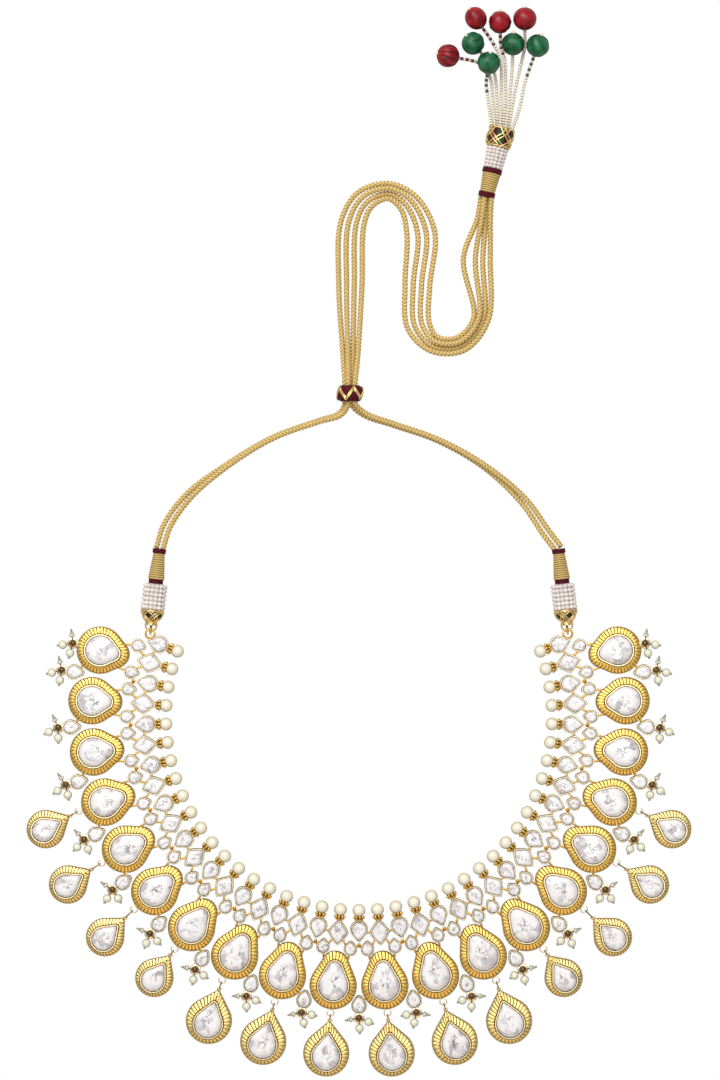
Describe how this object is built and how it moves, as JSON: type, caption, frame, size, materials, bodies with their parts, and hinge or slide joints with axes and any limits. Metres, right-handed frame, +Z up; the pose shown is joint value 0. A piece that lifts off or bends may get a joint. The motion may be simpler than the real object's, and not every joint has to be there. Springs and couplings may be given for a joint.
{
  "type": "kundan necklace",
  "caption": "Bib-like collar of foil-backed pear stones in ridged gold settings with pearls, sprays and hanging drops, on braided cords with a sliding knot and a beaded tassel",
  "frame": {"origin": "middle of the flat back of the centre oval setting, on the surface the necklace lies on", "axes": "+X across the collar, +Y from the collar towards the cords and the tassel, +Z up, out of the faces of the stones"},
  "size_m": [0.2326, 0.3744, 0.0099],
  "materials": {
    "collar_gold": "warm polished gold with engraved radial ridges",
    "drop_gold": "lighter polished gold with engraved radial ridges",
    "wire_gold": "antique gold wire",
    "clear_stone": "foil-backed clear stone with facets and a table",
    "pearl": "ivory pearl lustre",
    "seed_pearl": "greenish white pearl lustre",
    "woven_gold": "gold wire woven over green and dark red thread",
    "seed_bead": "pale seed beads in rows",
    "cream_bead": "cream seed beads",
    "wound_thread": "wound metallic thread with dark red bands",
    "braid": "pale gold braided thread",
    "knot_thread": "dark red thread crossed by gold and green",
    "red_bead": "glossy dark red bead",
    "green_bead": "glossy green bead with carved grooves"
  },
  "bodies": {
    "root": {"unit_l01": "collar_gold", "unit_l02": "collar_gold", "unit_l03": "collar_gold", "unit_l04": "collar_gold", "unit_l05": "collar_gold", "unit_l06": "collar_gold", "unit_l07": "collar_gold", "unit_l08": "collar_gold", "unit_l09": "collar_gold", "unit_l10": "collar_gold", "unit_r01": "collar_gold", "unit_r02": "collar_gold", "unit_r03": "collar_gold", "unit_r04": "collar_gold", "unit_r05": "collar_gold", "unit_r06": "collar_gold", "unit_r07": "collar_gold", "unit_r08": "collar_gold", "unit_r09": "collar_gold", "unit_r10": "collar_gold", "drop_l01": "drop_gold", "drop_l02": "drop_gold", "drop_l03": "drop_gold", "drop_l04": "drop_gold", "drop_l05": "drop_gold", "drop_l06": "drop_gold", "drop_l07": "drop_gold", "drop_r01": "drop_gold", "drop_r02": "drop_gold", "drop_r03": "drop_gold", "drop_r04": "drop_gold", "drop_r05": "drop_gold", "drop_r06": "drop_gold", "drop_r07": "drop_gold", "large_stones": "clear_stone", "drop_stones": "clear_stone", "small_stones": "clear_stone", "row_ovals": "clear_stone", "row_rhombs": "clear_stone", "lower_stones": "clear_stone", "pearls": "pearl", "pearl_sprays": "seed_pearl", "drop_links": "wire_gold", "end_cap_l": "woven_gold", "end_cap_r": "woven_gold", "end_sleeve_l": "seed_bead", "end_sleeve_r": "seed_bead", "end_binding_l": "wound_thread", "end_binding_r": "wound_thread", "strand_1": "braid", "strand_2": "braid", "strand_3": "braid", "strand_4": "braid", "slide_knot": "knot_thread", "tassel_binding": "wound_thread", "tassel_sleeve": "seed_bead", "tassel_cap": "woven_gold", "tassel_strings": "cream_bead", "tassel_red_beads": "red_bead", "tassel_green_beads": "green_bead"}
  },
  "joints": []
}
